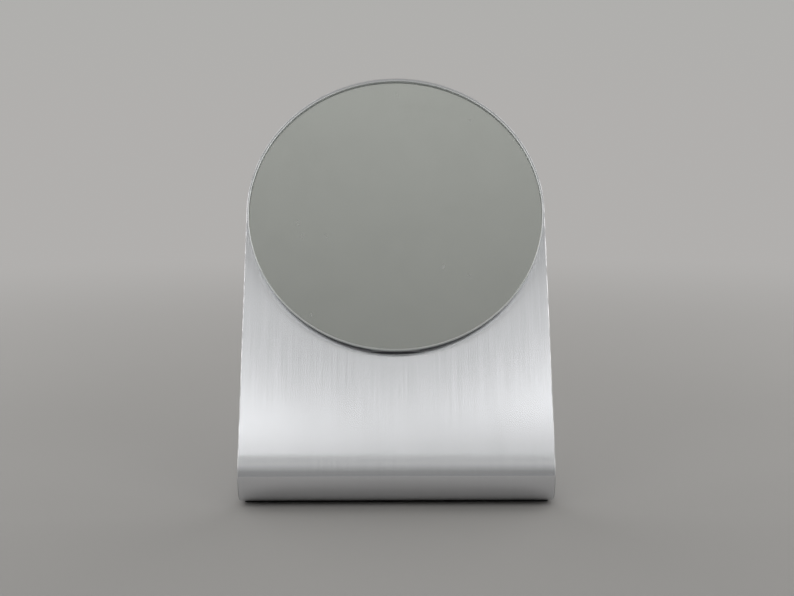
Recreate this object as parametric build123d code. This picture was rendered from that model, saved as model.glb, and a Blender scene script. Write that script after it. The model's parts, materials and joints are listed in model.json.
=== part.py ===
from build123d import *
import math
import os

# Round table mirror on a stand bent from one steel sheet. The mirror sits on a two-stage telescopic
# arm behind it, turns on the arm's tip and tilts forward on a hinge along its lower edge.
# Millimetres and degrees. X is right, Y is back, Z is up. The origin is on the table, under the
# middle of the stand's width and depth.

# Stand sheet
LEAN = 28.0                 # the panel leans back this far from upright
SHEET = 2.0                 # sheet thickness
PANEL_WIDTH = 203.6
ARC_CENTRE = 179.4          # from the bend's upper end up the slope to the centre of the round top
BEND_RADIUS = 18.0          # outside of the bottom bend
BASE_LENGTH = 165.0         # from the bend's centre to the rear edge
BASE_CORNER = 22.0
EDGE_BREAK = 0.6            # broken and polished cut edges

# Base pad
PAD_THICKNESS = 2.0
PAD_INSET = 2.5             # from the base's side and rear edges
PAD_FRONT = 1.0             # from the bend's centre line back to the pad's front edge

# Mirror
MIRROR_DIAMETER = 200.0
MIRROR_DROP = 3.7           # mirror's centre below the centre of the panel's round top
GLASS = 3.0
GLASS_BEVEL = 0.6           # on the front edge
SILVER = 0.1
SILVER_INSET = 0.5
TAPE = 0.4
TAPE_COUNT = 6
TAPE_LENGTH = 44.0
TAPE_WIDTH = 19.0
TAPE_CIRCLE_DIAMETER = 132.0    # through the middles of the tape strips
PLATE = 1.1
PLATE_INSET = 0.6
PLATE_HOLE = 26.0

# Carrier strap and swivel
STRAP = 1.3
PLATE_GAP = 0.4             # strap to backing plate
SWIVEL_DIAMETER = 6.0
SWIVEL_HEAD = 13.0
SWIVEL_HEAD_HEIGHT = 1.2
SWIVEL_THREAD = 4.0
SWIVEL_THREAD_LENGTH = 9.0
SWIVEL_SOCKET = 3.0         # hexagon across flats
WASHER = 0.3
WASHER_DIAMETER = 15.0

# Tilt hinge
HINGE_INSET = 3.4           # hinge axis in from the glass's lower edge
HINGE_LENGTH = 32.0         # the strap is as wide as its hinge
KNUCKLES = 3
KNUCKLE_GAP = 0.3
BARREL_DIAMETER = 3.0
BARREL_GAP = 0.4            # barrel clear of the panel
BARREL_CLEAR = 0.3          # barrel clear of the mirror's reflecting layer
PIN_DIAMETER = 1.8

# Telescopic arm
MOUTH_SETBACK = 0.3         # every mouth ends this far behind the panel's face
STAGE_TRAVEL = 70.0         # each stage slides out this far
ROD_DIAMETER = 10.0
TUBE_DIAMETER = 16.0
TUBE_WALL = 1.5
TUBE_GUIDE_LENGTH = 9.0
HOUSING_DIAMETER = 24.0
HOUSING_WALL = 2.0
HOUSING_GUIDE_LENGTH = 12.0
HOUSING_ROOM = 4.0          # free space behind the outer tube
STOP_LENGTH = 8.0
STOP_SPIGOT = 7.0           # rod's turned-down end inside its stop ring
STOP_SCREW_HEAD = 9.0
STOP_SCREW_HEIGHT = 2.4
STOP_SCREW_THREAD = 4.0
STOP_SCREW_LENGTH = 10.0
BORE_END = 1.0              # tapped bores end this far past their screws
CAP_LIP = 3.0
CAP_PLUG = 6.0
CAP_CHAMFER = 1.2

# Flange behind the panel
FLANGE = 4.0
FLANGE_EDGE = 2.4           # from the nuts' corners to the flange's rim
HUB_WALL = 4.0
HUB_LENGTH = 11.0
STUD_COUNT = 3
STUD_DIAMETER = 3.0
STUD_TIP = 1.6              # stands out of the nut
STUD_CLEAR = 0.2            # radial clearance in the flange's holes
NUT_FLATS = 5.5
NUT = 2.4
NUT_CLEAR = 1.3             # from the hub to the nuts' corners

# Fits
RUNNING = 0.05              # radial clearance of what slides or turns
SEAT = 0.01                 # radial clearance of what is fixed in a bore
AXIAL = 0.05                # end play of the swivel

# Heights above the panel's face, along the arm's axis
hinge_height = BARREL_GAP + BARREL_DIAMETER / 2
tape_high = BARREL_GAP + BARREL_DIAMETER + BARREL_CLEAR
plate_high = tape_high - TAPE
plate_low = plate_high - PLATE
strap_high = plate_low - PLATE_GAP
strap_low = strap_high - STRAP
washer_low = strap_low - WASHER
silver_high = tape_high + SILVER
glass_high = silver_high + GLASS

# Places along the arm behind the panel's face
mouth = -MOUTH_SETBACK
rod_end = mouth - TUBE_GUIDE_LENGTH - STAGE_TRAVEL - STOP_LENGTH
tube_end = mouth - HOUSING_GUIDE_LENGTH - STAGE_TRAVEL - STOP_LENGTH
housing_end = tube_end - HOUSING_ROOM - CAP_PLUG
tube_bore = TUBE_DIAMETER - 2 * TUBE_WALL
housing_bore = HOUSING_DIAMETER - 2 * HOUSING_WALL

# Places round the arm behind the panel
hub_diameter = HOUSING_DIAMETER + 2 * HUB_WALL
nut_corners = NUT_FLATS / math.cos(math.radians(30))
stud_circle = hub_diameter + nut_corners + 2 * NUT_CLEAR
flange_diameter = stud_circle + nut_corners + 2 * FLANGE_EDGE
flange_back = -SHEET - FLANGE

# The panel's directions in the world
lean = math.radians(LEAN)
up_slope = Vector(0, math.sin(lean), math.cos(lean))
outward = Vector(0, -math.cos(lean), math.sin(lean))
bend_centre = Vector(0, (BEND_RADIUS - BASE_LENGTH) / 2, PAD_THICKNESS + BEND_RADIUS)
panel_foot = bend_centre + outward * BEND_RADIUS
panel_plane = Plane(origin=panel_foot, x_dir=(1, 0, 0), z_dir=outward)
arm_plane = Plane(
    origin=panel_foot + up_slope * (ARC_CENTRE - MIRROR_DROP), x_dir=(1, 0, 0), z_dir=outward
)


def disc(diameter, low, high):
    """Cylinder on the arm's axis between two heights."""
    return Pos(0, 0, low) * Cylinder(
        diameter / 2, high - low, align=(Align.CENTER, Align.CENTER, Align.MIN)
    )


def ring(outer, inner, low, high):
    """Tube on the arm's axis between two heights."""
    return disc(outer, low, high) - disc(inner, low, high)


def stud_places():
    """Places of the studs round the arm."""
    return PolarLocations(stud_circle / 2, STUD_COUNT, start_angle=90)


def stand_sheet():
    """Panel with a round top, bottom bend and base in one bent sheet, its cut edges broken."""
    half = PANEL_WIDTH / 2
    outline = Polyline((-half, ARC_CENTRE), (-half, 0), (half, 0), (half, ARC_CENTRE))
    outline += ThreePointArc((half, ARC_CENTRE), (0, ARC_CENTRE + half), (-half, ARC_CENTRE))
    panel = extrude(panel_plane * make_face(outline), -SHEET)

    middle = (bend_centre.Y, bend_centre.Z)
    turn = 90 + LEAN
    outer = CenterArc(middle, BEND_RADIUS, 270, -turn)
    inner = CenterArc(middle, BEND_RADIUS - SHEET, 270, -turn)
    section = outer + inner + Line(outer @ 0, inner @ 0) + Line(outer @ 1, inner @ 1)
    bend = extrude(Plane.YZ * make_face(section), half, both=True)

    floor = Rectangle(PANEL_WIDTH, BASE_LENGTH, align=(Align.CENTER, Align.MIN))
    floor = fillet(floor.vertices().group_by(Axis.Y)[-1], BASE_CORNER)
    base = extrude(Pos(0, bend_centre.Y, PAD_THICKNESS) * floor, SHEET)

    sheet = panel + bend + base
    across = sheet.edges().filter_by(Axis.X).filter_by(lambda e: e.length > PANEL_WIDTH - 0.01)
    through = sheet.edges().filter_by(lambda e: e.length < SHEET + 0.01)
    rim = [e for e in sheet.edges() if e not in across + through]
    sheet = chamfer(rim, EDGE_BREAK)

    return sheet - arm_plane.location * disc(HOUSING_DIAMETER + 2 * SEAT, -2 * SHEET, SHEET)


def base_pad():
    """Thin pad under the base, a little smaller all round."""
    depth = BASE_LENGTH - PAD_INSET - PAD_FRONT
    shape = Rectangle(PANEL_WIDTH - 2 * PAD_INSET, depth, align=(Align.CENTER, Align.MIN))
    shape = fillet(shape.vertices().group_by(Axis.Y)[-1], BASE_CORNER - PAD_INSET)
    return extrude(Pos(0, bend_centre.Y + PAD_FRONT, 0) * shape, PAD_THICKNESS)


def arm_flange():
    """Turned flange on the panel's back with a hub round the housing."""
    body = disc(flange_diameter, flange_back, -SHEET) + disc(hub_diameter, -SHEET - HUB_LENGTH, -SHEET)
    body -= disc(HOUSING_DIAMETER + 2 * SEAT, -SHEET - HUB_LENGTH, -SHEET)
    for place in stud_places():
        body -= place * disc(STUD_DIAMETER + 2 * STUD_CLEAR, flange_back, -SHEET)
    return body


def flange_studs():
    """Studs welded on the panel's back, so that its face stays whole."""
    stud = disc(STUD_DIAMETER, flange_back - NUT - STUD_TIP, -SHEET)
    return Compound([place * stud for place in stud_places()])


def flange_nuts():
    """Nuts on the studs."""
    hexagon = RegularPolygon(NUT_FLATS / 2, 6, major_radius=False) - Circle(STUD_DIAMETER / 2)
    nut = extrude(Pos(0, 0, flange_back - NUT) * hexagon, NUT)
    return Compound([place * nut for place in stud_places()])


def housing_tube():
    """Fixed tube behind the panel."""
    return ring(HOUSING_DIAMETER, housing_bore, housing_end, mouth)


def housing_guide():
    """Bush in the housing's mouth that guides the outer tube and holds it where it is left."""
    return ring(housing_bore, TUBE_DIAMETER + 2 * RUNNING, mouth - HOUSING_GUIDE_LENGTH, mouth)


def housing_cap():
    """Plug with a lip in the housing's rear end."""
    lip = disc(HOUSING_DIAMETER, housing_end - CAP_LIP, housing_end)
    lip = chamfer(lip.edges().filter_by(GeomType.CIRCLE).group_by(Axis.Z)[0], CAP_CHAMFER)
    return lip + disc(housing_bore, housing_end, housing_end + CAP_PLUG)


def outer_tube():
    """Outer sliding stage."""
    return ring(TUBE_DIAMETER, tube_bore, tube_end, mouth)


def outer_stop_ring():
    """Slider on the outer tube's inner end, too wide for the housing's guide."""
    return ring(housing_bore - 2 * RUNNING, TUBE_DIAMETER, tube_end, tube_end + STOP_LENGTH)


def outer_guide():
    """Bush in the outer tube's mouth that guides the rod and holds it where it is left."""
    return ring(tube_bore, ROD_DIAMETER + 2 * RUNNING, mouth - TUBE_GUIDE_LENGTH, mouth)


def inner_rod():
    """Inner sliding stage, tapped at both ends and turned down for its stop ring."""
    rod = disc(ROD_DIAMETER, rod_end + STOP_LENGTH, washer_low)
    rod += disc(STOP_SPIGOT, rod_end, rod_end + STOP_LENGTH)
    rod -= disc(SWIVEL_THREAD + 2 * SEAT, washer_low - SWIVEL_THREAD_LENGTH - BORE_END, washer_low)
    return rod - disc(STOP_SCREW_THREAD + 2 * SEAT, rod_end, rod_end + STOP_SCREW_LENGTH + BORE_END)


def inner_stop_ring():
    """Slider on the rod's inner end, too wide for the outer tube's guide."""
    return ring(tube_bore - 2 * RUNNING, STOP_SPIGOT, rod_end, rod_end + STOP_LENGTH)


def inner_stop_screw():
    """Screw that holds the stop ring on the rod."""
    head = disc(STOP_SCREW_HEAD, rod_end - STOP_SCREW_HEIGHT, rod_end)
    return head + disc(STOP_SCREW_THREAD, rod_end, rod_end + STOP_SCREW_LENGTH)


def swivel_screw():
    """Shoulder screw that holds the strap on the rod's tip and lets it turn."""
    head_low = strap_high + AXIAL
    screw = disc(SWIVEL_HEAD, head_low, head_low + SWIVEL_HEAD_HEIGHT)
    screw += disc(SWIVEL_DIAMETER, washer_low, head_low)
    screw += disc(SWIVEL_THREAD, washer_low - SWIVEL_THREAD_LENGTH, washer_low)
    hexagon = RegularPolygon(SWIVEL_SOCKET / 2, 6, major_radius=False)
    return screw - extrude(Pos(0, 0, head_low) * hexagon, glass_high)


def swivel_washer():
    """Friction washer between the rod and the strap."""
    return ring(WASHER_DIAMETER, SWIVEL_DIAMETER + 2 * SEAT, washer_low, strap_low - AXIAL)


hinge_drop = MIRROR_DIAMETER / 2 - HINGE_INSET
knuckle_length = (HINGE_LENGTH - (KNUCKLES - 1) * KNUCKLE_GAP) / KNUCKLES
comb_line = hinge_drop - BARREL_DIAMETER / 2 - KNUCKLE_GAP


def knuckle_places(first):
    """Centres along X of every second knuckle."""
    pitch = knuckle_length + KNUCKLE_GAP
    start = -pitch * (KNUCKLES - 1) / 2
    return [start + pitch * k for k in range(first, KNUCKLES, 2)]


def along_hinge(diameter, length):
    """Cylinder on the hinge's axis, centred."""
    return Pos(0, -hinge_drop, hinge_height) * Rot(0, 90, 0) * Cylinder(diameter / 2, length)


def knuckles(first, low, high, bore):
    """Barrels with the webs that join them to a leaf between two heights."""
    barrels = Part()
    web_depth = hinge_drop - comb_line + KNUCKLE_GAP
    for x in knuckle_places(first):
        web = Pos(x, -comb_line + KNUCKLE_GAP, low) * Box(
            knuckle_length, web_depth, high - low, align=(Align.CENTER, Align.MAX, Align.MIN)
        )
        barrels += web + Pos(x, 0, 0) * along_hinge(BARREL_DIAMETER, knuckle_length)
    return barrels - along_hinge(bore, 2 * HINGE_LENGTH)


def carrier_strap():
    """Flat strap from the swivel down to the hinge."""
    shape = Circle(HINGE_LENGTH / 2) + Rectangle(HINGE_LENGTH, comb_line, align=(Align.CENTER, Align.MAX))
    shape -= Circle(SWIVEL_DIAMETER / 2 + RUNNING)
    strap = extrude(Pos(0, 0, strap_low) * shape, STRAP)
    return strap + knuckles(0, strap_low, strap_high, PIN_DIAMETER)


def hinge_pin():
    """Pin through all the knuckles."""
    return along_hinge(PIN_DIAMETER, HINGE_LENGTH)


def backing_plate():
    """Round plate behind the glass, notched at its lower edge for the hinge."""
    plate = ring(MIRROR_DIAMETER - 2 * PLATE_INSET, PLATE_HOLE, plate_low, plate_high)
    notch = Pos(0, -comb_line, 0) * Box(
        HINGE_LENGTH + 2 * KNUCKLE_GAP, MIRROR_DIAMETER, 4 * glass_high,
        align=(Align.CENTER, Align.MAX, Align.CENTER),
    )
    return (plate - notch) + knuckles(1, plate_low, plate_high, PIN_DIAMETER + 2 * RUNNING)


def mirror_tape():
    """Strips of adhesive tape between the plate and the glass."""
    strip = Pos(0, 0, plate_high) * Box(
        TAPE_WIDTH, TAPE_LENGTH, TAPE, align=(Align.CENTER, Align.CENTER, Align.MIN)
    )
    return Compound([place * strip for place in PolarLocations(TAPE_CIRCLE_DIAMETER / 2, TAPE_COUNT)])


def mirror_silver():
    """Reflecting layer on the back of the glass."""
    return disc(MIRROR_DIAMETER - 2 * SILVER_INSET, tape_high, silver_high)


def mirror_glass():
    """Round glass with a bevelled, polished front edge."""
    glass = disc(MIRROR_DIAMETER, silver_high, glass_high)
    return chamfer(glass.edges().filter_by(GeomType.CIRCLE).group_by(Axis.Z)[-1], GLASS_BEVEL)


on_the_table = [stand_sheet, base_pad]
on_the_arm = [
    arm_flange, flange_studs, flange_nuts, housing_tube, housing_guide, housing_cap,
    outer_tube, outer_stop_ring, outer_guide,
    inner_rod, inner_stop_ring, inner_stop_screw, swivel_screw, swivel_washer,
    carrier_strap, hinge_pin, backing_plate, mirror_tape, mirror_silver, mirror_glass,
]

os.makedirs("parts", exist_ok=True)
for make in on_the_table:
    export_step(make(), "parts/" + make.__name__ + ".step")
for make in on_the_arm:
    export_step(arm_plane.location * make(), "parts/" + make.__name__ + ".step")
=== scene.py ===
"""Looks of a round table mirror on a leaning stand bent from one brushed steel sheet."""

import json
import logging
import math
from abc import ABC, abstractmethod
from collections.abc import Mapping, Sequence
from dataclasses import dataclass
from enum import Enum

import bmesh
import bpy
from mathutils import Euler, Matrix, Vector


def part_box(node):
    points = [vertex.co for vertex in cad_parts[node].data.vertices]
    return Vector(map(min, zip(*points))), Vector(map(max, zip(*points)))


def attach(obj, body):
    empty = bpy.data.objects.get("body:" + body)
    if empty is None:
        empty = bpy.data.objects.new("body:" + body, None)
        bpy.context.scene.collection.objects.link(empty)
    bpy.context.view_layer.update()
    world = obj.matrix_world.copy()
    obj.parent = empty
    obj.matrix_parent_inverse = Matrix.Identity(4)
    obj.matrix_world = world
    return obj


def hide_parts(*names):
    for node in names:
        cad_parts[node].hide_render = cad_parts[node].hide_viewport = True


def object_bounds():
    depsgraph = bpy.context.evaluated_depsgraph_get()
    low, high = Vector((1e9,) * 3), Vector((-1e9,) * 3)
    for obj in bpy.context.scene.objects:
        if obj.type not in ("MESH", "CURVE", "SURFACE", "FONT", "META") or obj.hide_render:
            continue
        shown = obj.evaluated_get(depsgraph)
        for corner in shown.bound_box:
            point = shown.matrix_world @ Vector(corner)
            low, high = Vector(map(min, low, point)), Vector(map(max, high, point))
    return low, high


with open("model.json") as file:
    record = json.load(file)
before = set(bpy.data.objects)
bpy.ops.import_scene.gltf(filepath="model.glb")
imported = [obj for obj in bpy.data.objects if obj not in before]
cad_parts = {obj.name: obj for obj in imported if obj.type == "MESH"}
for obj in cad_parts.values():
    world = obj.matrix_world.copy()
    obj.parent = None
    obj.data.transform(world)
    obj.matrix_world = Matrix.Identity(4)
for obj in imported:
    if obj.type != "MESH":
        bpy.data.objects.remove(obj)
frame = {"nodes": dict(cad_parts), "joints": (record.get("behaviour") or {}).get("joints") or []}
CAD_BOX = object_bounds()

log = logging.getLogger("table_mirror")

Link = bpy.types.NodeSocket
Mesh = bpy.types.Mesh
Span = tuple[float, float]
Triple = tuple[float, float, float]
Profile = list[Span]

MERGE_DISTANCE = 2e-7
SHARP_ANGLE = math.radians(28.0)
FLAT_ANGLE = math.radians(0.5)
BEVEL_ANGLE = math.radians(40.0)
BEVEL_STEPS = 2
PUNCH_FACETS = 128
PUNCH_DEPTH = 0.02
NOISE_BODY = (0.3, 0.7)         # holds nearly all of a noise's values
ENERGY_PER_RADIANCE = 4.0       # of an area lamp, for each square metre


class Body(Enum):
    """The bodies that move against each other."""

    STAND = "stand"
    OUTER_STAGE = "outer_stage"
    INNER_STAGE = "inner_stage"
    CARRIER = "carrier"
    MIRROR = "mirror"


class Socket(Enum):
    """Kinds of input that a shape rule takes."""

    LENGTH = "NodeSocketFloat"
    COUNT = "NodeSocketInt"
    SWITCH = "NodeSocketBool"
    FINISH = "NodeSocketMaterial"


def opaque(value: object) -> object:
    """Adds full opacity to a plain colour and leaves anything else as it is."""
    return (*value, 1.0) if isinstance(value, tuple) and len(value) == 3 else value


def dimmed(colour: Triple, share: float) -> Triple:
    """Scales a colour's brightness."""
    return tuple(share * part for part in colour)


def placed(name: str, data: bpy.types.ID) -> bpy.types.Object:
    """Makes an object in the scene.

    Args:
        name: The object's name.
        data: Its mesh, lamp or camera.

    Returns:
        The new object.
    """
    made = bpy.data.objects.new(name, data)
    bpy.context.scene.collection.objects.link(made)
    return made


def taken(holder: bpy.types.Object) -> Mesh:
    """Takes the mesh that an object's modifiers make, and removes the object.

    Args:
        holder: The object.

    Returns:
        The finished mesh.
    """
    graph = bpy.context.evaluated_depsgraph_get()
    made = bpy.data.meshes.new_from_object(holder.evaluated_get(graph))
    bpy.data.objects.remove(holder)
    return made


class Graph:
    """Adds nodes to a tree and joins them."""

    def __init__(self, tree: bpy.types.NodeTree) -> None:
        """Starts on the tree that the nodes go into."""
        self.tree = tree

    def add(self, kind: str, inputs: Mapping[str | int, object] | None = None,
            **settings: object) -> bpy.types.Node:
        """Adds one node.

        Args:
            kind: Blender's name of the node's type.
            inputs: A value, or the socket of another node, for each named or numbered input.
            **settings: Properties of the node itself.

        Returns:
            The new node.
        """
        node = self.tree.nodes.new(kind)
        for name, value in settings.items():
            setattr(node, name, value)
        for key, value in (inputs or {}).items():
            self.feed(node.inputs[key], value)
        return node

    def feed(self, socket: Link, value: object) -> None:
        """Sets an input, or links it where the value is another node's socket.

        Args:
            socket: The input.
            value: A plain value or an output socket.
        """
        if isinstance(value, Link):
            self.tree.links.new(value, socket)
        else:
            socket.default_value = value

    def math(self, operation: str, *values: object) -> Link:
        """Adds an operation on numbers or sockets and returns its socket."""
        return self.add("ShaderNodeMath", dict(enumerate(values)), operation=operation).outputs[0]

    def combine(self, x: object, y: object, z: object) -> Link:
        """Makes a vector of three numbers and returns its socket."""
        return self.add("ShaderNodeCombineXYZ", {0: x, 1: y, 2: z}).outputs[0]

    def separate(self, vector: Link) -> list[Link]:
        """Splits a vector and returns the sockets of its three numbers."""
        return list(self.add("ShaderNodeSeparateXYZ", {0: vector}).outputs)

    def polar(self, radius: Link, turn: Link) -> list[Link]:
        """Returns the sockets of X and Y at a radius and an angle."""
        return [self.math("MULTIPLY", radius, self.math(way, turn)) for way in ("COSINE", "SINE")]

    def flat_length(self, x: Link, y: Link) -> Link:
        """Returns the socket of a flat vector's length."""
        squares = [self.math("MULTIPLY", part, part) for part in (x, y)]
        return self.math("SQRT", self.math("ADD", *squares))

    def between(self, value: Link, low: object, high: object, to_low: float = 0.0,
                to_high: float = 1.0) -> Link:
        """Maps a range of a number smoothly to another range, held at its ends.

        Args:
            value: The number's socket.
            low: Start of its range, a number or socket.
            high: End of its range, a number or socket.
            to_low: What the start becomes.
            to_high: What the end becomes.

        Returns:
            The result's socket.
        """
        inputs = {"Value": value, "From Min": low, "From Max": high,
                  "To Min": to_low, "To Max": to_high}
        node = self.add("ShaderNodeMapRange", inputs, interpolation_type="SMOOTHSTEP")
        return node.outputs[0]

    def blend(self, share: object, first: object, second: object) -> Link:
        """Mixes two colours or sockets by the second one's share and returns the socket."""
        inputs = {0: share, 6: opaque(first), 7: opaque(second)}
        return self.add("ShaderNodeMix", inputs, data_type="RGBA").outputs[2]


class ShapeRule(Graph):
    """A Geometry Nodes tree with named inputs, run on a start mesh."""

    def __init__(self, name: str) -> None:
        """Starts an empty rule.

        Args:
            name: The tree's name.
        """
        super().__init__(bpy.data.node_groups.new(name, "GeometryNodeTree"))
        for way in ("INPUT", "OUTPUT"):
            self.tree.interface.new_socket("Geometry", in_out=way,
                                           socket_type="NodeSocketGeometry")
        self.start = self.tree.nodes.new("NodeGroupInput")
        self.end = self.tree.nodes.new("NodeGroupOutput")

    @property
    def geometry(self) -> Link:
        """The start mesh's socket."""
        return self.start.outputs["Geometry"]

    def inputs(self, kind: Socket, *names: str) -> list[Link]:
        """Adds named inputs of one kind.

        Args:
            kind: Their kind.
            *names: Their names.

        Returns:
            Their sockets in order.
        """
        for name in names:
            self.tree.interface.new_socket(name, in_out="INPUT", socket_type=kind.value)
        return [self.start.outputs[name] for name in names]

    def close(self, geometry: Link, *finishes: tuple[Link, object]) -> None:
        """Ends the rule: real geometry, then its materials.

        Args:
            geometry: What the rule has made.
            *finishes: A material's socket and a selection, or True for every face.
        """
        made = self.add("GeometryNodeRealizeInstances", {"Geometry": geometry}).outputs[0]
        for material, where in finishes:
            inputs = {"Geometry": made, "Material": material, "Selection": where}
            made = self.add("GeometryNodeSetMaterial", inputs).outputs[0]
        self.feed(self.end.inputs[0], made)

    def run(self, start: Mesh, values: Mapping[str, object]) -> Mesh:
        """Runs the rule and takes its result as a plain mesh.

        Args:
            start: The mesh that the rule starts from.
            values: A value for each named input.

        Returns:
            The new mesh.
        """
        holder = placed("rule_holder", start)
        modifier = holder.modifiers.new("rule", "NODES")
        modifier.node_group = self.tree
        for item in self.tree.interface.items_tree:
            if item.in_out == "INPUT" and item.name in values:
                modifier[item.identifier] = values[item.name]
        made = taken(holder)
        drop_empty_slots(made)
        return made


def drop_empty_slots(mesh: Mesh) -> None:
    """Takes the material slots that hold nothing off a mesh.

    Args:
        mesh: The mesh, which is changed.
    """
    slots = list(mesh.materials)
    used = [material for material in slots if material is not None]
    numbers = [used.index(slots[polygon.material_index]) for polygon in mesh.polygons]
    mesh.materials.clear()
    for material in used:
        mesh.materials.append(material)
    mesh.polygons.foreach_set("material_index", numbers)


class Paint(Graph):
    """The node tree of one material on Object coordinates."""

    def __init__(self, name: str) -> None:
        """Starts a material with one Principled shader.

        Args:
            name: The material's name.
        """
        self.material = bpy.data.materials.new(name)
        self.material.use_nodes = True
        super().__init__(self.material.node_tree)
        self.shader = self.tree.nodes["Principled BSDF"]
        self.place = self.add("ShaderNodeTexCoord").outputs["Object"]

    def set(self, **values: object) -> None:
        """Sets or links the shader's inputs, named with _ for a space."""
        for name, value in values.items():
            self.feed(self.shader.inputs[name.replace("_", " ")], value)

    def seen_from_arm(self) -> Link:
        """Returns the socket of coordinates in the arm's own directions."""
        inputs = {"Vector": self.place, "Location": ARM.origin, "Rotation": ARM.matrix.to_euler()}
        return self.add("ShaderNodeMapping", inputs, vector_type="TEXTURE").outputs[0]

    def noise(self, per_metre: float | Triple, detail: float, distortion: float = 0.0) -> Link:
        """Adds soft noise.

        Args:
            per_metre: Cells in a metre, one number or one for each direction.
            detail: Octaves.
            distortion: How far the cells are warped.

        Returns:
            The socket of a number around one half.
        """
        scale = per_metre if isinstance(per_metre, tuple) else (per_metre,) * 3
        mapping = {"Vector": self.place, "Scale": scale}
        place = self.add("ShaderNodeMapping", mapping, vector_type="POINT").outputs[0]
        inputs = {"Vector": place, "Scale": 1.0, "Detail": detail, "Distortion": distortion}
        return self.add("ShaderNodeTexNoise", inputs).outputs[0]

    def bump(self, height: Link, distance: float) -> None:
        """Raises the surface by a pattern from 0 to 1, with the height of 1 in metres."""
        inputs = {"Height": height, "Distance": distance, "Strength": 1.0}
        self.set(Normal=self.add("ShaderNodeBump", inputs).outputs[0])


@dataclass(frozen=True)
class ArmAxis:
    """The arm's own directions: X to the right, Y up the panel's slope, Z out of its face."""

    origin: Vector
    outward: Vector

    @classmethod
    def from_frame(cls) -> "ArmAxis":
        """Reads the axis from the swivel's joint."""
        joint = next(j for j in frame["joints"] if j["name"] == "mirror_swivel")
        return cls(Vector(joint["pos_m"]), Vector(joint["axis"]).normalized())

    @property
    def up_slope(self) -> Vector:
        """Direction up the panel."""
        return self.outward.cross(Vector((1.0, 0.0, 0.0)))

    @property
    def matrix(self) -> Matrix:
        """Takes the arm's own coordinates to the frame's."""
        turn = Matrix(((1.0, 0.0, 0.0), self.up_slope, self.outward)).transposed()
        return Matrix.Translation(self.origin) @ turn.to_4x4()

    def points(self, node: str) -> list[Vector]:
        """Returns a node's corners in the arm's own coordinates."""
        back = self.matrix.inverted()
        return [back @ vertex.co for vertex in frame["nodes"][node].data.vertices]

    def turned(self, node: str) -> "TurnedSize":
        """Measures a node that is turned about the arm.

        Args:
            node: The node's name.

        Returns:
            Its radii and heights.
        """
        points = self.points(node)
        radii = [point.xy.length for point in points]
        heights = [point.z for point in points]
        return TurnedSize(min(radii), max(radii), min(heights), max(heights))


@dataclass(frozen=True)
class TurnedSize:
    """Radii and heights of a piece that is turned about the arm."""

    bore: float
    radius: float
    low: float
    high: float


ARM = ArmAxis.from_frame()


@dataclass(frozen=True)
class Finish(ABC):
    """A surface finish that becomes one material."""

    name: str
    colour: Triple
    roughness: float

    @abstractmethod
    def paint(self, paint: Paint) -> None:
        """Dresses a new material.

        Args:
            paint: The material under construction.
        """

    def material(self) -> bpy.types.Material:
        """Makes the material once.

        Returns:
            The material.
        """
        found = bpy.data.materials.get(self.name)
        if found is not None:
            return found
        paint = Paint(self.name)
        self.paint(paint)
        return paint.material


@dataclass(frozen=True)
class BrushedSteel(Finish):
    """Steel brushed up and down the slope, which spreads reflections sideways."""

    anisotropy: float
    fine_per_metre: float = 1500.0
    coarse_per_metre: float = 520.0
    along_per_metre: float = 18.0
    fine_share: float = 0.85
    streak_span: Span = (0.35, 0.65)
    streak_shade: float = 0.97
    cloud_per_metre: float = 14.0
    cloud_span: Span = (0.55, 0.8)
    cloud_share: float = 0.4
    cloud_shade: float = 0.94
    swing: float = 0.01
    groove: float = 0.7e-6

    def paint(self, paint: Paint) -> None:
        """Dresses the material with streaks across X.

        Args:
            paint: The material under construction.
        """
        along = self.along_per_metre
        fine = paint.noise((self.fine_per_metre, along, along), 3.0)
        coarse = paint.noise((self.coarse_per_metre, along / 2, along / 2), 2.0)
        cloud = paint.noise(self.cloud_per_metre, 3.0)
        streak = paint.math("ADD", paint.math("MULTIPLY", fine, self.fine_share),
                            paint.math("MULTIPLY", coarse, 1.0 - self.fine_share))
        dark, worn = (dimmed(self.colour, shade) for shade in (self.streak_shade, self.cloud_shade))
        tone = paint.blend(paint.between(streak, *self.streak_span), dark, self.colour)
        cloudy = paint.between(cloud, *self.cloud_span, 0.0, self.cloud_share)
        tone = paint.blend(cloudy, tone, worn)
        rough = paint.between(streak, *NOISE_BODY, self.roughness - self.swing,
                              self.roughness + self.swing)
        paint.set(Base_Color=tone, Metallic=1.0, Roughness=rough, Anisotropic=self.anisotropy,
                  Tangent=paint.combine(1.0, 0.0, 0.0))
        paint.bump(fine, self.groove)


@dataclass(frozen=True)
class PolishedMetal(Finish):
    """Polished or plated metal with faint handling marks."""

    marks_per_metre: float = 160.0
    mark_span: Span = (0.35, 0.75)
    mark_warp: float = 0.6
    mark_shade: float = 0.9
    mark_roughness: float = 1.6

    def paint(self, paint: Paint) -> None:
        """Dresses the material with soft marks.

        Args:
            paint: The material under construction.
        """
        marks = paint.noise(self.marks_per_metre, 4.0, self.mark_warp)
        dull = dimmed(self.colour, self.mark_shade)
        tone = paint.blend(paint.between(marks, *self.mark_span), self.colour, dull)
        rough = paint.between(marks, *self.mark_span, self.roughness,
                              self.mark_roughness * self.roughness)
        paint.set(Base_Color=tone, Metallic=1.0, Roughness=rough)


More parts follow.
